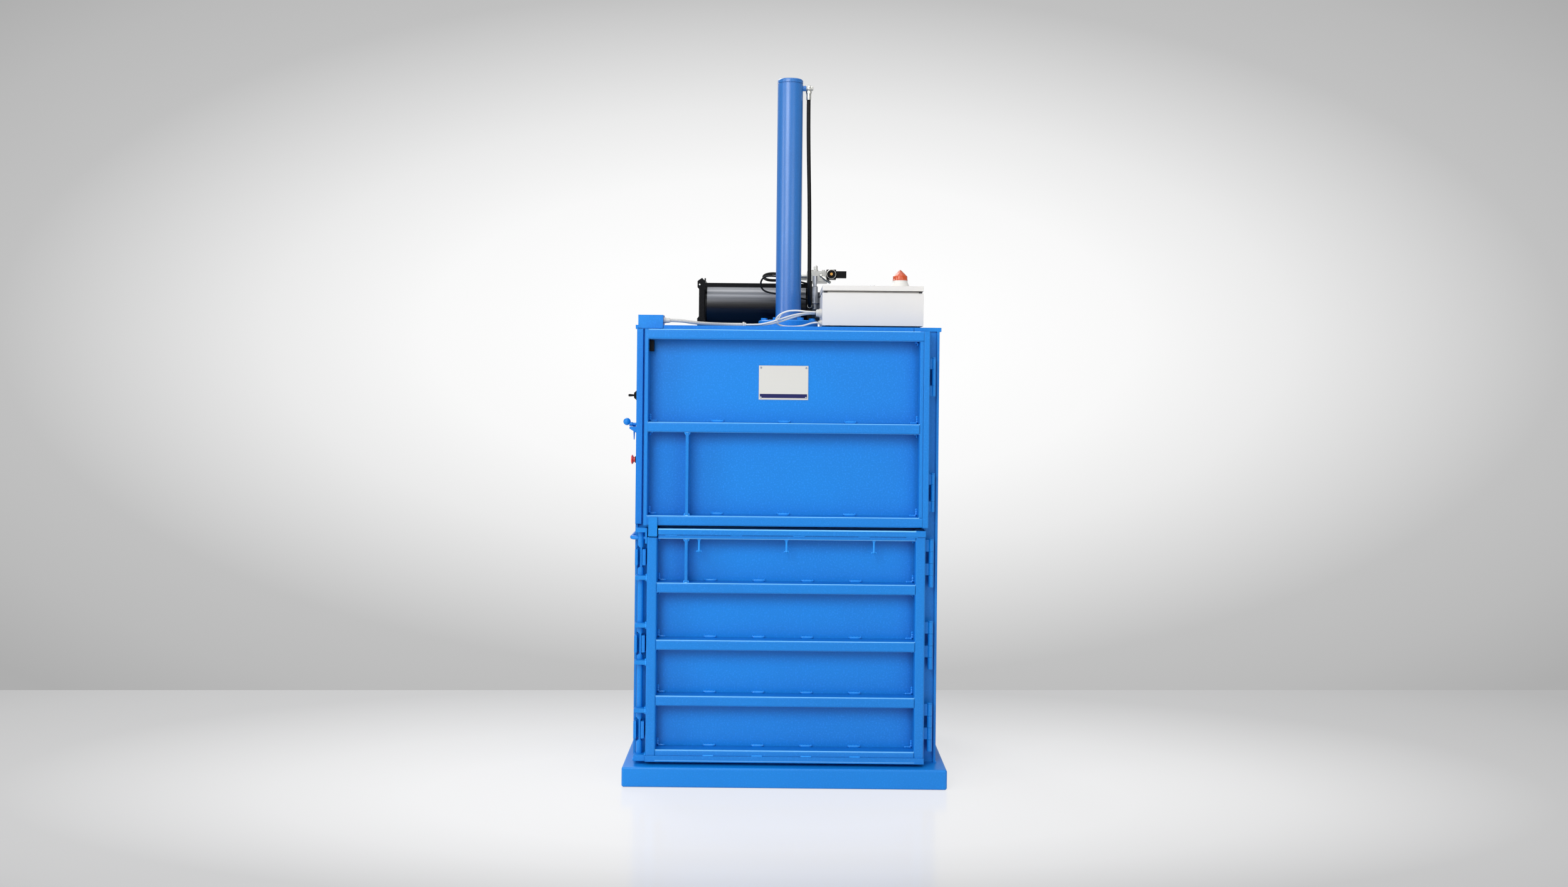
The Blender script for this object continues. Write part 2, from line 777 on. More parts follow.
class Shape:
    """A bmesh under work that ends as one object of the scene."""

    SMOOTH_BELOW: float = math.radians(35)

    def __init__(self, name: str) -> None:
        """Start an empty mesh with the name of its piece."""
        self.name = name
        self.bm = bmesh.new()

    def moved(self, verts: Sequence[bmesh.types.BMVert], matrix: Matrix) -> None:
        """Move new vertices by a matrix."""
        bmesh.ops.transform(self.bm, matrix=matrix, verts=list(verts))

    def block(self, low: Point, high: Point, bevel: float = 0.0) -> None:
        """Add a block.

        Args:
            low: Lowest corner.
            high: Highest corner.
            bevel: Width of its eased edges.
        """
        size = Vector(high) - Vector(low)
        middle = (Vector(high) + Vector(low)) / 2
        verts = bmesh.ops.create_cube(self.bm, size=1.0)["verts"]
        self.moved(verts, Matrix.Translation(middle) @ Matrix.Diagonal((*size, 1)))
        if bevel > 0:
            edges = {edge for vert in verts for edge in vert.link_edges}
            bmesh.ops.bevel(self.bm, geom=list(edges), offset=bevel, segments=2, affect="EDGES",
                            profile=0.5, material=-1)

    def turned(self, profile: Profile, base: Point, axis: Point, steps: int) -> None:
        """Spin a profile about an axis.

        Args:
            profile: Pairs of radius and height along the axis.
            base: Where height 0 lies.
            axis: Direction of the axis.
            steps: Faces round a full turn.
        """
        verts = [self.bm.verts.new((radius, 0, height)) for radius, height in profile]
        edges = [self.bm.edges.new(pair) for pair in zip(verts, verts[1:])]
        bmesh.ops.spin(self.bm, geom=verts + edges, cent=(0, 0, 0), axis=UPWARD, angle=math.tau,
                       steps=steps, use_merge=True, use_duplicate=False)
        fresh = self._joined_to(verts)
        bmesh.ops.remove_doubles(self.bm, verts=fresh, dist=1e-6)
        fresh = [vert for vert in fresh if vert.is_valid]
        turn = Vector(UPWARD).rotation_difference(Vector(axis)).to_matrix().to_4x4()
        self.moved(fresh, Matrix.Translation(base) @ turn)

    @staticmethod
    def _joined_to(seeds: Iterable[bmesh.types.BMVert]) -> list[bmesh.types.BMVert]:
        """Give every vertex joined to the seeds by edges.

        Args:
            seeds: Vertices to start from.

        Returns:
            The seeds that are left and all that hangs together with them.
        """
        found = {seed for seed in seeds if seed.is_valid}
        queue = list(found)
        while queue:
            for edge in queue.pop().link_edges:
                for vert in edge.verts:
                    if vert not in found:
                        found.add(vert)
                        queue.append(vert)
        return list(found)

    def bead(self, start: Point, end: Point, radius: float, ripple: float = 0.12) -> None:
        """Add a weld bead: a short rope of ripples with tapered ends.

        Args:
            start: First end of its centre line.
            end: Last end.
            radius: Mean radius.
            ripple: How much the radius swells and sinks.
        """
        sides, taper, fewest, most = 8, 0.45, 4, 26
        first, last = Vector(start), Vector(end)
        rings = max(fewest, min(most, round((last - first).length / (radius * 1.1))))
        frame = (last - first).to_track_quat("Z", "Y").to_matrix().to_4x4()
        ring = bmesh.ops.create_circle(self.bm, segments=sides, radius=radius * taper,
                                       cap_ends=True)["verts"]
        self.moved(ring, Matrix.Translation(first) @ frame)
        face = ring[0].link_faces[0]
        for index in range(1, rings + 1):
            swell = 1 + ripple * (1 if index % 2 else -1)
            swell *= taper if index == rings else 1.0
            now = bmesh.ops.extrude_face_region(self.bm, geom=[face])["geom"]
            if index > 1:
                bmesh.ops.delete(self.bm, geom=[face], context="FACES_ONLY")
            face = next(item for item in now if isinstance(item, bmesh.types.BMFace))
            verts = fresh_verts(now)
            centre = first.lerp(last, index / rings)
            middle = sum((vert.co for vert in verts), Vector()) / len(verts)
            for vert in verts:
                vert.co = centre + (vert.co - middle).normalized() * radius * swell

    def finish(self, paint: Finish | Paint, body: str = "machine",
               smooth: bool = True) -> bpy.types.Object:
        """Turn the mesh into an object that rides on a body.

        Args:
            paint: Its finish.
            body: Name of the body that carries it.
            smooth: Shade it smooth where its faces meet at a small angle.

        Returns:
            The object.
        """
        bmesh.ops.recalc_face_normals(self.bm, faces=self.bm.faces)
        mesh = bpy.data.meshes.new(self.name)
        self.bm.to_mesh(mesh)
        self.bm.free()
        piece = stand(self.name, mesh)
        if smooth:
            mesh.shade_smooth()
            mesh.set_sharp_from_angle(angle=self.SMOOTH_BELOW)
        mesh.materials.append(paint.material())
        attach(piece, body)
        LOG.info("%s: %d faces on %s", self.name, len(mesh.polygons), body)
        return piece


def turn_piece(name: str, turnings: Iterable[Turning], paint: Finish | Paint = Paint.ZINC,
               body: str = "machine",
               smooth: bool = True) -> bpy.types.Object:
    """Make one piece of turned forms.

    Args:
        name: Name of the piece.
        turnings: Profile, foot, axis and steps of each form.
        paint: Its finish.
        body: Name of the body that carries it.
        smooth: Shade it smooth.

    Returns:
        The object.
    """
    shape = Shape(name)
    for turning in turnings:
        shape.turned(*turning)
    return shape.finish(paint, body, smooth)


def weld(name: str, beads: Iterable[Bead], body: str = "machine") -> None:
    """Lay beads of weld as one painted piece.

    Args:
        name: Name of the piece.
        beads: Both ends, the radius and, where it isn't the usual one, the ripple of each.
        body: Name of the body that carries it.
    """
    shape = Shape(name)
    for bead in beads:
        shape.bead(*bead)
    shape.finish(Paint.WELD, body)


def centred(middle: Point, axis: int, half: float, radius: float) -> Bead:
    """Give a bead that runs along one axis, as far to either side of its middle.

    Args:
        middle: Its middle.
        axis: Number of the axis.
        half: Half its length.
        radius: Its mean radius.

    Returns:
        The bead.
    """
    start, end = list(middle), list(middle)
    start[axis] -= half
    end[axis] += half
    return tuple(start), tuple(end), radius


# ------------------------------------------------------------------ sub-assemblies
@dataclass
class Group:
    """A sub-assembly that dresses its own nodes of the frame and adds its small pieces."""

    frame: dict

    def build(self) -> None:
        """Dress the sub-assembly."""
        raise NotImplementedError

    def paint(self, coat: Finish | Paint, *nodes: str) -> None:
        """Give nodes of the frame one finish.

        Args:
            coat: The finish.
            nodes: Names of the nodes.
        """
        for node in nodes:
            materials = self.frame["nodes"][node].data.materials
            materials.clear()
            materials.append(coat.material())


# ------------------------------------------------------------------ cords
@dataclass
class Cord:
    """A hose or cable whose line is one smooth spline through a chosen route, in millimetres."""

    name: str
    node: str
    radius: float
    route: Sequence[Point]
    paint: Paint = Paint.HOSE
    slot: str = "hose_rubber"
    stiffness: str = "medium"
    sides: int = 20

    def build(self) -> None:
        path = self._path()
        tube = self._tube(path)
        length = sum((b - a).length for a, b in zip(path, path[1:]))
        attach(tube, "machine")
        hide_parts(self.node)
        tuple(path[0])
        self.radius * 2
        [tuple(point) for point in path]
        LOG.info("%s: %.3f m long", self.name, length)

    def _path(self) -> list[Vector]:
        """Follow a NURBS curve along the route.

        Returns:
            The points, in metres.
        """
        data = bpy.data.curves.new(self.name + "_line", "CURVE")
        data.dimensions = "3D"
        data.resolution_u = 10
        spline = data.splines.new("NURBS")
        spline.points.add(len(self.route) - 1)
        for point, spot in zip(spline.points, self.route):
            point.co = (*(value / 1000 for value in spot), 1)
        spline.order_u = 3
        spline.use_endpoint_u = True
        line = stand(data.name, data)
        bpy.context.view_layer.update()
        mesh = bpy.data.meshes.new_from_object(line)
        points = [vert.co.copy() for vert in mesh.vertices]
        bpy.data.meshes.remove(mesh)
        bpy.data.objects.remove(line)
        return points

    def _tube(self, path: Sequence[Vector]) -> bpy.types.Object:
        """Sweep a circle along the path, with lengths in metres in the UV map.

        Args:
            path: Points of the centre line.

        Returns:
            The tube.
        """
        bm = bmesh.new()
        chart = bm.loops.layers.uv.new(CHART)
        rings, lengths, walked, side = [], [], 0.0, None
        for index, centre in enumerate(path):
            before, after = path[max(index - 1, 0)], path[min(index + 1, len(path) - 1)]
            ahead = (after - before).normalized()
            side = ahead.orthogonal() if side is None else side - ahead * side.dot(ahead)
            side.normalize()
            ring = bmesh.ops.create_circle(bm, segments=self.sides, radius=self.radius)["verts"]
            turn = Matrix((side, ahead.cross(side), ahead)).transposed().to_4x4()
            bmesh.ops.transform(bm, matrix=Matrix.Translation(centre) @ turn, verts=ring)
            walked += (centre - path[index - 1]).length if index else 0.0
            rings.append(ring)
            lengths.append(walked)
        for index, (lower, upper) in enumerate(zip(rings, rings[1:])):
            for k in range(self.sides):
                following = (k + 1) % self.sides
                face = bm.faces.new((lower[k], lower[following], upper[following], upper[k]))
                spots = ((k, index), (k + 1, index), (k + 1, index + 1), (k, index + 1))
                for loop, (around, step) in zip(face.loops, spots):
                    loop[chart].uv = (around / self.sides, lengths[step])
        bm.faces.new(list(reversed(rings[0])))
        bm.faces.new(rings[-1])
        bmesh.ops.recalc_face_normals(bm, faces=bm.faces)
        mesh = bpy.data.meshes.new(self.name)
        bm.to_mesh(mesh)
        bm.free()
        mesh.shade_smooth()
        mesh.materials.append(self.paint.material())
        return stand(self.name, mesh)


@dataclass
class Cable(Cord):
    """A grey control cable: thinner and limper than a hose."""

    paint: Paint = Paint.CABLE
    slot: str = "grey_plastic"
    stiffness: str = "limp"
    sides: int = 14


@dataclass
class Hoses(Group):
    """The pressure hose, the two hose loops, the grey cables and the conduit."""

    def cords(self) -> list[Cord]:
        """Give every cord with its route, in millimetres.

        Returns:
            The cords.
        """
        thick, thin, cable, conduit = 0.0065, 0.004, 0.00375, 0.007
        return [
            Cord("pressure_hose_line", "pressure_hose", 0.0085,
                 [(80, 50, 2836), (80, 50, 2726), (83, 48, 2570), (87, 43, 2410), (89, 35, 2250),
                  (90, 30, 2130), (90, 30.5, 2036), (91, 60, 1984), (95, 112, 1948),
                  (95, 162, 1948)]),
            Cord("return_hose_thick", "hose_loops", thick,
                 [(58, 240, 2082), (14, 240, 2082), (-44, 234, 2094), (-94, 250, 2095),
                  (-116, 295, 2084), (-98, 343, 2072), (-48, 362, 2072), (14, 350, 2082),
                  (58, 350, 2082)]),
            Cord("return_hose_thin", "hose_loops", thin,
                 [(93, 172, 2043), (93, 143, 2043), (66, 119, 2046), (14, 117, 2062),
                  (-44, 121, 2074), (-102, 126, 2076), (-122, 130, 2054), (-122, 136, 2026),
                  (-102, 141, 2006), (-48, 140, 1997), (8, 130, 1988), (66, 117, 1975),
                  (93, 139, 1975), (93, 172, 1975)]),
            Cable("cable_looped", "control_cables", cable,
                  [(114, -239, 1901), (80, -239, 1901), (38, -239, 1907), (-8, -236, 1904),
                   (-46, -226, 1884), (-56, -207, 1856), (-28, -193, 1842.15),
                   (22, -196, 1840.15), (64, -216, 1844.15), (100, -239, 1857),
                   (124, -239, 1857)]),
            Cable("cable_middle", "control_cables", cable,
                  [(114, -230, 1897), (72, -230, 1897), (16, -229, 1888), (-50, -229.5, 1864),
                   (-106, -228, 1849), (-140, -229, 1846.3), (-176, -229, 1846.3)]),
            Cable("cable_back", "control_cables", cable,
                  [(114, -221, 1895), (76, -221, 1895), (20, -219.5, 1880), (-44, -219, 1856),
                   (-102, -220.5, 1845.5), (-140, -221, 1846.3), (-176, -221, 1846.3)]),
            Cord("conduit_line", "conduit", conduit,
                 [(-479.5, -360, 1855.5), (-440, -360, 1855.5), (-378, -336, 1847),
                  (-318, -286, 1845.5), (-268, -240, 1846), (-226, -225, 1846.3),
                  (-190, -225, 1846.3)], Paint.CONDUIT, "grey_plastic"),
        ]

    def build(self) -> None:
        """Build every cord and the tie round the three cables."""
        for cord in self.cords():
            cord.build()
        self._tie()

    @staticmethod
    def _tie() -> None:
        """Wrap a cable tie with its lock round the bundle where the cables part."""
        centre, lean = (-0.0395, -0.2275, 1.8695), math.radians(-62)
        half_width, half_height, strap, thickness = 0.0225, 0.0155, 0.0045, 0.0011
        shape = Shape("cable_tie")
        ring = bmesh.ops.create_circle(shape.bm, segments=28, radius=1.0)["verts"]
        edges = list({edge for vert in ring for edge in vert.link_edges})
        tilt = Matrix.Rotation(lean, 4, "Y")
        oval = Matrix.Diagonal((half_width, half_height, 1, 1))
        shape.moved(ring, Matrix.Translation(centre) @ tilt @ oval)
        wall = bmesh.ops.extrude_edge_only(shape.bm, edges=edges)["geom"]
        bmesh.ops.translate(shape.bm, vec=tilt.to_3x3() @ Vector((0, 0, strap)),
                            verts=fresh_verts(wall))
        bmesh.ops.solidify(shape.bm, geom=list(shape.bm.faces), thickness=thickness)
        shape.block((-0.046, -0.2475, 1.866), (-0.039, -0.2415, 1.874), 0.0008)
        shape.finish(Paint.TIE)


# ------------------------------------------------------------------ doors
@dataclass(frozen=True)
class DoorPlan:
    """Where the rails, stiles, stitches and rib of one door lie."""

    side: str
    rails: tuple[float, ...]
    strips: tuple[float, ...]
    stiles: tuple[float, float]
    stitches: tuple[float, ...]
    rib_bay: int
    rib_across: float = -0.400
    rail_height: float = 0.040
    rail_front: float = -0.460
    edge_reach: float = 0.002

    @property
    def body(self) -> str:
        """The body that carries the door's pieces."""
        return f"{self.side}_door"

    @property
    def bays(self) -> list[tuple[float, float]]:
        """Foot and head of the open sheet between each rail and the next."""
        return [(low + self.rail_height, high) for low, high in zip(self.rails, self.rails[1:])]

    def rail_paint(self) -> RailPaint:
        """Give the finish of the door's frame.

        Returns:
            The paint with its pale rail edges.
        """
        left, right = self.stiles
        return RailPaint(f"{self.body}_frame_blue", linear(9, 121, 205), linear(6, 110, 194),
                         0.34, 0.00026, 0.0046, 0.30, levels=self.rails + self.strips,
                         height=self.rail_height, front=self.rail_front,
                         sides=(left - self.edge_reach, right + self.edge_reach))

    def sheet_paint(self, inside: float) -> DoorSheetPaint:
        """Give the finish of the door's sheet.

        Args:
            inside: Depth behind which the sheet's inner face begins.

        Returns:
            The paint with its dark borders.
        """
        middles = tuple(level + self.rail_height / 2 for level in self.rails)
        return DoorSheetPaint(f"{self.side}_sheet_blue", linear(10, 126, 213),
                              linear(6, 108, 196), sides=self.stiles, inside=inside,
                              rails=middles)


UPPER = DoorPlan("upper", (1.033, 1.406, 1.777), (), (-0.558, 0.526), (-0.283, -0.014, 0.253), 0)
LOWER = DoorPlan("lower", (0.099, 0.314, 0.537, 0.765, 0.980), (0.982,), (-0.516, 0.515),
                 (-0.305, -0.110, 0.086, 0.280), 3)


@dataclass
class DoorWelds:
    """Stitch welds, corner welds and flared ends of the rib on one door."""

    plan: DoorPlan
    face: float
    stitch_half: float = 0.022
    low_leg: float = 0.032
    high_leg: float = 0.016
    rib_depth: float = 0.066

    def build(self) -> None:
        """Lay the beads where the sheet meets the frame."""
        beads = [bead for low, _ in self.plan.bays for bead in self._stitches(low)]
        for bay in self.plan.bays:
            beads += self._corners(*bay)
        beads += self._rib(*self.plan.bays[self.plan.rib_bay])
        weld(f"{self.plan.body}_welds", beads, self.plan.body)

    def _stitches(self, low: float) -> Iterator[Bead]:
        """Stitch the lower rail's top edge to the sheet, with a blob at both ends of a stitch.

        Args:
            low: Foot of the bay.

        Yields:
            Each bead.
        """
        for x in self.plan.stitches:
            yield centred((x, self.face - 0.003, low + 0.0035), X, self.stitch_half, 0.0054)
            for end in (x - self.stitch_half, x + self.stitch_half):
                y = self.face - 0.0025
                yield (end, y, low + 0.001), (end, y, low + 0.010), 0.0036

    def _corners(self, low: float, high: float) -> Iterator[Bead]:
        """Run a short bead along both sides of each corner of a bay.

        Args:
            low: Foot of the bay.
            high: Its head.

        Yields:
            Each bead.
        """
        left, right = self.plan.stiles
        y, ripple = self.face - 0.0025, 0.2
        for x, inward in ((left, 1), (right, -1)):
            for z, upward, leg in ((low, 1, self.low_leg), (high, -1, self.high_leg)):
                start = (x + inward * 0.0035, y, z + upward * 0.003)
                yield start, (start[X], y, z + upward * leg), 0.0044, ripple
                yield start, (x + inward * leg, y, start[Z]), 0.0040, ripple

    def _rib(self, low: float, high: float) -> Iterator[Bead]:
        """Flare the rib into the rails with a slanting and a level bead beside both ends.

        Args:
            low: Foot of the bay.
            high: Its head.

        Yields:
            Each bead.
        """
        x, front = self.plan.rib_across, self.face - self.rib_depth
        for z, upward in ((low, 1), (high, -1)):
            for side in (-1, 1):
                beside, above = x + side * 0.0065, z + upward * 0.002
                yield (beside, front + 0.003, above), (beside, self.face - 0.004, above), 0.0034
                yield ((x + side * 0.0105, front + 0.002, z - upward * 0.001),
                       (x + side * 0.0045, front + 0.002, z + upward * 0.011), 0.0036, 0.05)


@dataclass
class Doors(Group):
    """Finishes and welds of both doors, and the small pieces fixed to them."""

    lug_spans: tuple[Span, ...] = (
        (0.815, 0.832), (0.625, 0.642), (0.477, 0.494), (0.285, 0.302))
    lug_front: float = -0.455
    lug_back: float = -0.403
    bottom_strip: float = 0.1185
    top_strip_drop: float = 0.0255
    top_stitches: tuple[float, ...] = (-0.46, -0.20, 0.05, 0.31, 0.50)
    hook_inset: float = 0.009
    hook_bar: Profile = ((0.0, -0.0115), (0.0032, -0.0105), (0.0044, -0.0080), (0.0040, 0.0),
                         (0.0044, 0.0080), (0.0032, 0.0105), (0.0, 0.0115))
    rivet_inset: float = 0.009
    rivet: Profile = ((0.0, 0.0031), (0.0022, 0.0026), (0.0038, 0.0012), (0.0043, 0.0))

    def build(self) -> None:
        """Paint the doors' nodes and lay the welds."""
        self.paint(Paint.RAIL, "interlock_tab", "latch_striker", "lock_lugs")
        self.paint(Paint.FRAME, "upper_door_hinges", "lower_door_hinges", "lock_shaft",
                   "lock_handle", "strap_hooks")
        self.paint(Paint.BLACK, "door_switch")
        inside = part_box("upper_door_skin")[1].y - 0.001
        for plan in (UPPER, LOWER):
            self.paint(plan.rail_paint(), f"{plan.body}_frame")
            self.paint(plan.sheet_paint(inside), f"{plan.body}_skin")
            DoorWelds(plan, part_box(f"{plan.body}_skin")[0].y).build()
        weld("strip_welds", self._strip_welds(), "lower_door")
        weld("lug_welds", self._lug_welds(), "lower_door")
        self._hook_coats()
        self._plate()

    def _strip_welds(self) -> Iterator[Bead]:
        """Give short beads on the lower door's bottom strip and under its top strip.

        Yields:
            Each bead.
        """
        low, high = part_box("lower_door_frame")
        y = low.y + 0.006
        for x in LOWER.stitches:
            yield centred((x, y, self.bottom_strip), X, 0.022, 0.0034)
        for x in self.top_stitches:
            yield centred((x, y, high.z - self.top_strip_drop), X, 0.024, 0.003)

    def _lug_welds(self) -> Iterator[Bead]:
        """Blend each lock lug into the stile with a bead over it, under it and before it.

        Yields:
            Each bead.
        """
        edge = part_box("lower_door_skin")[0].x
        beside, before, gap, radius = edge - 0.0015, edge - 0.001, 0.0015, 0.0042
        for low, high in self.lug_spans:
            for z in (low - gap, high + gap):
                yield (beside, self.lug_front, z), (beside, self.lug_back, z), radius
            y = self.lug_front - 0.001
            yield (before, y, low), (before, y, high), 0.0035
        z = self.bottom_strip
        yield (beside, self.lug_front, z), (beside, self.lug_back, z), radius

    def _hook_coats(self) -> None:
        """Coat each strap hook's rod thickly, flare it upwards and put a bar through its head."""
        low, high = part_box("strap_hooks")
        drop, middle, inset = high.z - low.z, (low.y + high.y) / 2, self.hook_inset
        rod = [(0.0, -drop - 0.002), (0.0042, -drop - 0.001), (0.0060, 0.003 - drop),
               (0.0060, 0.007 - drop), (0.0044, 0.011 - drop), (0.0042, 0.014 - drop),
               (0.0042, -0.013), (0.0052, -0.008), (0.0078, -0.003), (0.0105, 0.0)]
        turnings = []
        for x in (low.x + inset, (low.x + high.x) / 2, high.x - inset):
            turnings += [(rod, (x, middle, high.z), UPWARD, 18),
                         (self.hook_bar, (x, middle, low.z + 0.0045), RIGHTWARD, 14)]
        turn_piece("hook_coats", turnings, Paint.WELD, "lower_door")

    def _plate(self) -> None:
        """Give the bare plate its pale face and band, and head its rivets."""
        low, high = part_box("maker_plate")
        inset, y = self.rivet_inset, high.y - 0.002
        self.paint(PlateFace("plate_face", tuple(low), tuple(high)), "maker_plate")
        turn_piece("plate_rivets", [(self.rivet, (x, y, z), FRONTWARD, 16)
                                    for x in (low.x + inset, high.x - inset)
                                    for z in (low.z + inset, high.z - inset)],
                   Paint.ALLOY, "upper_door")


# ------------------------------------------------------------------ body
@dataclass
class Cabinet(Group):
    """Finishes of the plinth, the posts, the chamber and the top, with their welds."""

    rail_count: int = 5
    first_rail: float = 0.170
    rail_step: float = 0.330
    rail_height: float = 0.040
    rail_stitches: tuple[float, ...] = (-0.18, 0.05, 0.28)
    rail_ends: Span = (-0.3195, 0.4195)
    rail_side: float = 0.5985
    plinth_top: float = 0.0815
    post_side: float = 0.6095
    post_back: float = -0.30
    wall_side: float = 0.5515
    foot_stitches: tuple[float, ...] = (-0.36, -0.24, -0.05, 0.15, 0.35)

    def build(self) -> None:
        """Paint the fixed sheet and box section, and lay its welds."""
        self.paint(Paint.FRAME, "plinth_tray", "corner_posts", "wall_rails", "top_plate",
                   "corner_caps", "wiring_duct", "duct_cover", "frame_hinges", "lock_keepers",
                   "bolt_bracket", "cylinder_flange")
        self.paint(Paint.CHAMBER, "plinth_bearers", "side_walls", "rear_wall", "chamber_floor",
                   "top_beams", "press_plate")
        weld("wall_welds", self._rail_welds())
        weld("foot_welds", self._foot_welds())

    def _rail_welds(self) -> Iterator[Bead]:
        """Stitch the side rails to the walls and weld their ends to the posts.

        Yields:
            Each bead.
        """
        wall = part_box("side_walls")[1].x + 0.0015
        for index in range(self.rail_count):
            level = self.first_rail + index * self.rail_step
            for side in (-1, 1):
                for y in self.rail_stitches:
                    for z in (level - 0.0015, level + self.rail_height + 0.0015):
                        yield centred((side * wall, y, z), Y, 0.025, 0.0036)
                x = side * self.rail_side
                for y in self.rail_ends:
                    yield (x, y, level + 0.003), (x, y, level + 0.037), 0.0032

    def _foot_welds(self) -> Iterator[Bead]:
        """Weld the posts and the walls to the plinth.

        Yields:
            Each bead.
        """
        for side in (-1, 1):
            for y in self.foot_stitches:
                x = self.post_side if y < self.post_back else self.wall_side
                yield centred((side * (x + 0.001), y, self.plinth_top), Y, 0.03, 0.0038)


# ------------------------------------------------------------------ top of the machine
@dataclass
class PressCylinder(Group):
    """Finishes of the cylinder and its fittings, with its weld, crimp rings and hose union."""

    hose_across: float = 0.080
    hose_back: float = 0.050
    crimps: int = 4
    first_crimp: float = 2.839
    crimp_step: float = 0.0062
    crimp: Profile = ((0.0098, 0.0), (0.0112, 0.0012), (0.0112, 0.0032), (0.0098, 0.0044))
    hexagon_foot: float = 2.864
    hexagon: Profile = ((0.0, 0.0), (0.0125, 0.0), (0.0125, 0.010), (0.0, 0.010))
    bead: Profile = ((-0.001, -0.0050), (0.0028, -0.0036), (0.0042, 0.0), (0.0028, 0.0036),
                     (-0.001, 0.0050))
    union_left: float = 0.0690
    union: Profile = ((0.0105, 0.0), (0.0136, 0.0030), (0.0150, 0.0080), (0.0150, 0.0130),
                      (0.0136, 0.0180), (0.0105, 0.0215), (0.0105, 0.0270), (0.0085, 0.0300),
                      (0.0, 0.0305))

    def build(self) -> None:
        """Paint the cylinder, plate its fittings and add what is too fine for the frame."""
        self.paint(Paint.CYLINDER, "cylinder_barrel", "cylinder_cap")
        self.paint(Paint.FRAME, "flange_bolts")
        self.paint(Paint.ZINC, "hose_fittings")
        self.paint(Paint.CHROME, "piston_rod")
        self._ferrule_rings()
        self._flange_weld()
        self._hose_union()

    def _ferrule_rings(self) -> None:
        """Crimp rings on the upper hose ferrule and a hexagon above them."""
        x, y = self.hose_across, self.hose_back
        rings = [(self.crimp, (x, y, self.first_crimp + index * self.crimp_step), UPWARD, 24)
                 for index in range(self.crimps)]
        turn_piece("ferrule_rings",
                   [*rings, (self.hexagon, (x, y, self.hexagon_foot), UPWARD, 6)])

    def _flange_weld(self) -> None:
        """Run a round bead where the barrel enters the flange."""
        low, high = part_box("cylinder_barrel")
        foot = (0.0, (low.y + high.y) / 2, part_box("cylinder_flange")[1].z + 0.001)
        ring = [(swell - low.x, height) for swell, height in self.bead]
        turn_piece("flange_weld", [(ring, foot, UPWARD, 64)], Paint.CYLINDER)

    def _hose_union(self) -> None:
        """Round the hose's upper union like a ball and cap its bolt."""
        foot = (self.union_left, self.hose_back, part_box("hose_fittings")[1].z - 0.012)
        turn_piece("hose_union", [(self.union, foot, RIGHTWARD, 28)])


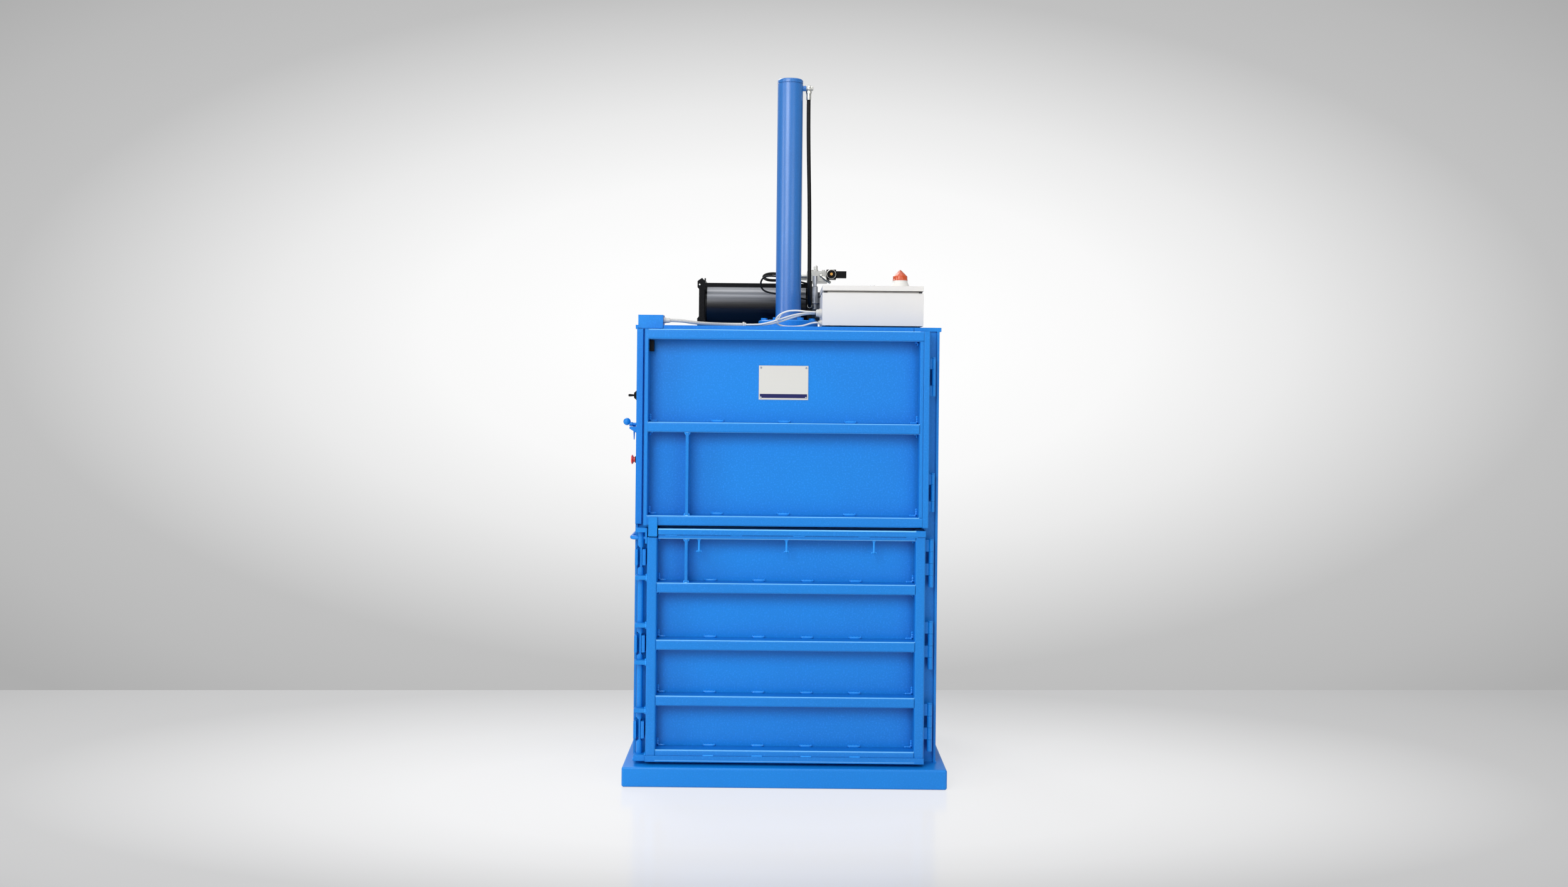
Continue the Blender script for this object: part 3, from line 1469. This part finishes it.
@dataclass
class PowerUnit(Group):
    """Finishes and small fittings of the tank, valve block, motor and coil."""

    block_height: float = 0.045
    block_front: float = 0.205
    front_plugs: tuple[Span, ...] = ((0.100, 2.093), (0.121, 2.073), (0.142, 2.093))
    front_plug: Profile = ((0.0, -0.001), (0.0035, -0.001), (0.0040, 0.002), (0.0070, 0.002),
                           (0.0078, 0.0012), (0.0078, -0.001))
    top_plugs: tuple[Span, ...] = (
        (0.104, 0.250), (0.158, 0.250), (0.158, 0.330), (0.104, 0.330))
    top_plug: Profile = ((0.0, 0.004), (0.0032, 0.004), (0.0036, 0.008), (0.0062, 0.008),
                         (0.0068, 0.007), (0.0068, 0.0))
    port_foot: Point = (0.140, 0.208, 2.088)
    port_axis: Point = (0.62, -0.30, -0.48)
    port: Profile = ((0.0, 0.0), (0.0060, 0.0), (0.0080, 0.003), (0.0080, 0.012),
                     (0.0055, 0.014), (0.0055, 0.019), (0.0076, 0.021), (0.0076, 0.043),
                     (0.0064, 0.046), (0.0064, 0.060), (0.0050, 0.063), (0.0, 0.063))
    coil_across: float = 0.190
    coil_level: float = 2.088
    coil_nut: Profile = ((0.0, 0.0), (0.0205, 0.0), (0.0212, 0.002), (0.0212, 0.008),
                         (0.0200, 0.0105), (0.0, 0.0105))
    coil_centre: Profile = ((0.0, 0.0040), (0.0060, 0.0040), (0.0078, 0.0020), (0.0078, 0.0))
    bolt_head: Profile = ((0.0, 0.0030), (0.0034, 0.0030), (0.0042, 0.0022), (0.0042, 0.0))
    tank_back: float = 0.29
    seam_width: float = 0.006
    screws_across: Span = (0.204, 0.268)
    screws_up: Span = (1.915, 1.979)
    screws_back: float = 0.394
    screw: Profile = ((0.0, 0.003), (0.003, 0.0028), (0.0042, 0.0015), (0.0042, 0.0))

    def build(self) -> None:
        """Paint the unit and add its nut, plugs, test fitting, seams and screws."""
        self.paint(TankCoat("tank_coat", *self._drum()), "oil_tank")
        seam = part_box("valve_manifold")[1].z - self.block_height
        self.paint(BlockOnPlate("block_on_plate", seam), "valve_manifold")
        self.paint(Paint.BLACK_STEEL, "tank_bracket")
        self.paint(Paint.MOTOR, "pump_motor")
        self.paint(Paint.BLACK, "solenoid")
        self.paint(Paint.ZINC, "relief_cartridge")
        self.paint(Paint.ALLOY, "line_filter")
        self._coil_nut()
        self._block_fittings()
        self._tank_fittings()
        turn_piece("terminal_screws", [(self.screw, (x, self.screws_back, z), BACKWARD, 14)
                                       for x in self.screws_across for z in self.screws_up])

    @staticmethod
    def _drum() -> Span:
        """Give the height of the oil tank's axis and its radius."""
        low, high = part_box("oil_tank")
        return (low.z + high.z) / 2, (high.z - low.z) / 2

    def _coil_nut(self) -> None:
        """Round the coil's nut and give it a brass centre."""
        x, front, z = self.coil_across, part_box("solenoid")[0].y, self.coil_level
        turn_piece("coil_knurl", [(self.coil_nut, (x, front + 0.0165, z), FRONTWARD, 40)])
        turn_piece("coil_centre", [(self.coil_centre, (x, front + 0.0035, z), FRONTWARD, 24)],
                   Paint.BRASS)

    def _block_fittings(self) -> None:
        """Screw plugs into the valve block's faces and a capped fitting into its corner."""
        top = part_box("valve_manifold")[1].z
        front = [(self.front_plug, (x, self.block_front, z), FRONTWARD, 20)
                 for x, z in self.front_plugs]
        turn_piece("block_plugs",
                   front + [(self.top_plug, (x, y, top), UPWARD, 16) for x, y in self.top_plugs])
        turn_piece("test_port", [(self.port, self.port_foot, self.port_axis, 6)],
                   smooth=False)

    def _tank_fittings(self) -> None:
        """Add the bracket's bolt and the tank's end seams."""
        low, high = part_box("oil_tank")
        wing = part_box("tank_bracket")
        head = (wing[0].x + 0.010, wing[0].y, wing[1].z - 0.030)
        turn_piece("bracket_bolt", [(self.bolt_head, head, FRONTWARD, 6)])
        axis, radius = self._drum()
        inner, outer, width = radius - 0.002, radius + 0.0035, self.seam_width
        seam = [(inner, 0.0), (outer, 0.0008), (outer, 0.0052), (inner, width)]
        turn_piece("tank_seams", [(seam, (x, self.tank_back, axis), RIGHTWARD, 64)
                                  for x in (low.x, high.x - width)],
                   Paint.BLACK_STEEL)


@dataclass
class ControlBox(Group):
    """Finishes of the control box and what stands on it."""

    beacon: Span = (0.460, -0.250)
    lamp: Profile = ((0.0, 0.032), (0.006, 0.030), (0.009, 0.024), (0.009, 0.008),
                     (0.014, 0.006), (0.014, 0.0))
    neck_front: float = -0.320
    neck_depth: float = 0.420
    seal_inset: float = 0.0125
    seal_width: float = 0.003
    seal_foot: float = 1.9775
    seal_top: float = 1.9858

    def build(self) -> None:
        """Paint the box, its glands and its beacon."""
        self.paint(Paint.ENCLOSURE, "control_box", "box_lid")
        self.paint(Paint.GREY, "cable_glands")
        self.paint(Paint.RUBBER, "box_feet")
        self.paint(Paint.CHROME, "lid_lock")
        self.paint(Paint.BEACON, "beacon_base")
        self._lens()
        self._seal()
        self._lip()

    def _lens(self) -> None:
        """Shape the beacon's ribbed amber lens with a crown and a lamp inside it."""
        low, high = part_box("beacon_lens")
        height, outer, wall = high.z - low.z, (high.x - low.x) / 2, 0.003
        skirt, foot = height * 0.42, (*self.beacon, low.z)
        dome = [(outer - wall, 0.0), (outer, 0.0), (outer, 0.004), (outer - 0.001, 0.005),
                (outer - 0.001, skirt - 0.002), (outer - 0.0022, skirt),
                (outer * 0.16, height * 0.955), (outer * 0.09, height * 0.99), (0.0, height),
                (0.0, height - wall), (outer * 0.12, height * 0.90),
                (outer - wall * 2, skirt - 0.001), (outer - wall * 1.5, 0.004),
                (outer - wall, 0.0)]
        lens = turn_piece("beacon_dome", [(dome, foot, UPWARD, 48)],
                          AmberLens("amber_lens", self.beacon), "box_lid")
        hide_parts("beacon_lens")
        turn_piece("beacon_lamp", [(self.lamp, foot, UPWARD, 20)], Paint.GREY,
                   "box_lid")

    def _seal(self) -> None:
        """Lay the lid's foam seal in the gap over the neck."""
        low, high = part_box("control_box")
        left, right = low.x + self.seal_inset, high.x - self.seal_inset
        front = self.neck_front + self.seal_inset
        back = self.neck_front + self.neck_depth - self.seal_inset
        wide = self.seal_width
        shape = Shape("lid_seal")
        for (x0, y0), (x1, y1) in (((left, front), (right, front + wide)),
                                   ((left, back - wide), (right, back)),
                                   ((left, front + wide), (left + wide, back - wide)),
                                   ((right - wide, front + wide), (right, back - wide))):
            shape.block((x0, y0, self.seal_foot), (x1, y1, self.seal_top))
        shape.finish(Paint.RUBBER, smooth=False)

    @staticmethod
    def _lip() -> None:
        """Line the lid's lower front edge with its black rubber lip, thicker at both ends."""
        low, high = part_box("box_lid")
        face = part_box("control_box")[0].y
        shape = Shape("lid_lip")
        for x0, x1, out, drop in ((low.x + 0.004, high.x - 0.004, 0.0024, 0.0014),
                                  (low.x + 0.006, low.x + 0.020, 0.0026, 0.0050),
                                  (high.x - 0.020, high.x - 0.006, 0.0026, 0.0050)):
            shape.block((x0, face - out, low.z - drop), (x1, face - 0.0004, low.z + 0.0010))
        shape.finish(Paint.RUBBER, "box_lid", smooth=False)


@dataclass
class SideControls(Group):
    """Finishes of the joystick, stop button, latch bolt and drop pin."""

    def build(self) -> None:
        """Paint the controls."""
        self.paint(Paint.BLACK, "joystick_base", "joystick_lever", "stop_collar")
        self.paint(Paint.RED, "stop_button")
        self.paint(Paint.FRAME, "latch_bolt", "drop_pin")


# ------------------------------------------------------------------ studio
@dataclass(frozen=True)
class Lamp:
    """One soft rectangular lamp: its place, the point it faces, its face and its power."""

    name: str
    spot: Point
    aim: Point
    size: Span
    watts: float

    def hang(self) -> None:
        """Hang the lamp in the scene."""
        data = bpy.data.lights.new(self.name, "AREA")
        data.shape = "RECTANGLE"
        data.size, data.size_y = self.size
        data.energy = self.watts
        turn = (Vector(self.aim) - Vector(self.spot)).to_track_quat("-Z", "Y")
        lamp = stand(self.name, data)
        lamp.matrix_world = Matrix.Translation(self.spot) @ turn.to_matrix().to_4x4()


@dataclass
class Studio:
    """Pale floor, soft lamps and the camera at the photograph's place."""

    image_width: int = 2500
    image_height: int = 1414
    focal_pixels: float = 2240.0
    vanishing: Span = (1245.0, 605.0)
    eye: Point = (-0.029, -6.060, 1.620)
    roll_degrees: float = 0.57
    sensor: float = 36.0
    farthest: float = 200.0
    floor_half: float = 60.0
    nearest: float = 0.8
    floor_grey: Colour = (0.80, 0.80, 0.805)
    gloss_grey: Colour = (0.95, 0.95, 0.95)
    line_back: float = 1.27
    line_slant: float = 0.045
    wall_fade: Span = (0.0335, 0.245)
    floor_fade: Span = (-0.299, 0.080)
    glow_share: float = 0.76
    gloss_share: float = 0.13
    room_light: Colour = (0.46, 0.46, 0.465)
    fade_reach: float = 1.5
    fade_stops: tuple[tuple[float, int], ...] = (
        (0.25, 254), (0.45, 249), (0.65, 235), (0.83, 215), (1.0, 193), (1.2, 186), (1.4, 174))
    lamps: tuple[Lamp, ...] = (
        Lamp("key", (-2.6, -6.2, 4.4), (0, 0, 0.8), (3.5, 3.5), 245),
        Lamp("fill", (3.6, -6.0, 2.2), (0, 0, 0.8), (3.0, 3.5), 62),
        Lamp("side", (-5.6, -3.0, 2.6), (0, 0, 1.8), (1.6, 3.0), 80),
        Lamp("top", (0.0, -1.0, 6.6), (0, 0, 1.0), (4.0, 4.0), 110),
        Lamp("back", (-2.5, 4.5, 5.6), (0, 0, 1.3), (2.4, 2.4), 165))

    def build(self) -> None:
        """Set the view, the floor, the lamps, the world and the camera.

        The back lamp hangs so high that the glossy floor mirrors it outside the picture.
        """
        bpy.context.scene.view_settings.view_transform = "Standard"
        self._camera()
        self._floor()
        for lamp in self.lamps:
            lamp.hang()
        self._world()

    def _camera(self) -> None:
        """Aim a level camera whose shift puts the vanishing point where the photograph has it."""
        data = bpy.data.cameras.new("photo_camera")
        data.sensor_width = self.sensor
        data.lens = self.sensor * self.focal_pixels / self.image_width
        data.shift_x = (self.image_width / 2 - self.vanishing[0]) / self.image_width
        data.shift_y = (self.vanishing[1] - self.image_height / 2) / self.image_width
        data.clip_end = self.farthest
        camera = stand("photo_camera", data)
        level = Matrix.Rotation(math.radians(90), 4, "X")
        roll = Matrix.Rotation(math.radians(self.roll_degrees), 4, "Z")
        camera.matrix_world = Matrix.Translation(self.eye) @ level @ roll
        bpy.context.scene.camera = camera

    def _fade(self, graph: Graph, across: Wire, rise: Wire, middle: float, half: float) -> Wire:
        """Give the backdrop's tone: white in its middle and grey towards its rim.

        Args:
            graph: Nodes to add to.
            across: Slope sideways of the line from the lens.
            rise: Slope upwards of that line.
            middle: Rise of the white middle.
            half: Rise from the middle to the rim.

        Returns:
            The tone.
        """
        sideways = across * (self.focal_pixels / (self.image_width / 2))
        upright = (rise - middle) / half
        reach = (sideways * sideways + upright * upright).root() / self.fade_reach
        stops = [(place / self.fade_reach, linear(grey, grey, grey))
                 for place, grey in self.fade_stops]
        return graph.add("ShaderNodeValToRGB", {"stops": stops}, {0: reach})

    @staticmethod
    def _seen(graph: Graph) -> Wire:
        """Give 1 to a ray from the lens, a mirror or glass, and 0 to the light of the room.

        Args:
            graph: Nodes to add to.

        Returns:
            The share.
        """
        outputs = graph.add("ShaderNodeLightPath").socket.node.outputs
        camera, mirror, glass = (Wire(graph, outputs[f"Is {kind} Ray"])
                                 for kind in ("Camera", "Glossy", "Transmission"))
        return (camera + mirror + glass).span(0.0, 1.0)

    def _floor(self) -> None:
        """Lay a wide, faintly glossy floor that turns into the backdrop behind the machine."""
        shape = bmesh.new()
        bmesh.ops.create_grid(shape, x_segments=2, y_segments=2, size=self.floor_half)
        mesh = bpy.data.meshes.new("studio_floor")
        shape.to_mesh(mesh)
        shape.free()
        material = bpy.data.materials.new("studio_floor")
        material.use_nodes = True
        graph = Graph(material.node_tree)
        ahead = (graph.place(Y) - self.eye[Y]).at_least(self.nearest)
        slopes = (graph.place(X) - self.eye[X]) / ahead, -self.eye[Z] / ahead
        far = graph.place(Y) > graph.place(X) * self.line_slant + self.line_back
        wall = self._fade(graph, *slopes, *self.wall_fade)
        near = self._fade(graph, *slopes, *self.floor_fade)
        glow = graph.add("ShaderNodeEmission", inputs={"Color": graph.mix(far, near, wall)})
        gloss = graph.add("ShaderNodeBsdfGlossy", inputs={"Color": (*self.gloss_grey, 1),
                                                          "Roughness": 0.16})
        shader = graph.add("ShaderNodeBsdfDiffuse", inputs={"Color": (*self.floor_grey, 1)})
        seen = self._seen(graph)
        for share, top in ((far.span(0.0, 1.0, self.glow_share, 1.0), glow),
                           (far.fall(0.0, 1.0, self.gloss_share), gloss)):
            shader = graph.add("ShaderNodeMixShader", inputs={0: seen * share, 1: shader, 2: top})
        graph.add("ShaderNodeOutputMaterial", inputs={"Surface": shader})
        mesh.materials.append(material)
        stand("studio_floor", mesh)

    def _world(self) -> None:
        """Light evenly, and show the backdrop's white middle and grey rim all round."""
        world = bpy.data.worlds.new("studio_world")
        bpy.context.scene.world = world
        world.use_nodes = True
        graph = Graph(world.node_tree)
        axes = graph.parts(graph.add("ShaderNodeTexCoord", output="Generated"))
        ahead = abs(axes[Y]).at_least(0.05)
        tone = self._fade(graph, axes[X] / ahead, axes[Z] / ahead, *self.wall_fade)
        light = graph.mix(self._seen(graph), self.room_light, tone)
        background = graph.add("ShaderNodeBackground", inputs={"Color": light})
        graph.add("ShaderNodeOutputWorld", inputs={"Surface": background})


# ------------------------------------------------------------------ the whole
@dataclass
class Baler:
    """The whole machine: its sub-assemblies in the order they are dressed."""

    frame: dict
    groups: list[type[Group]] = field(default_factory=lambda: [
        Hoses, Cabinet, Doors, PressCylinder, PowerUnit, ControlBox, SideControls])

    def build(self) -> None:
        """Dress every group and report it."""
        for group in self.groups:
            group(self.frame).build()
            LOG.info("%s dressed", group.__name__)


def main() -> None:
    """Load the frame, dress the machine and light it."""
    logging.basicConfig(level=logging.INFO, format="%(name)s: %(message)s")
    for old in list(bpy.data.objects):
        bpy.data.objects.remove(old)
    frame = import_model()
    Studio().build()
    Baler(frame).build()
    bpy.context.view_layer.update()


if __name__ == "__main__":
    main()
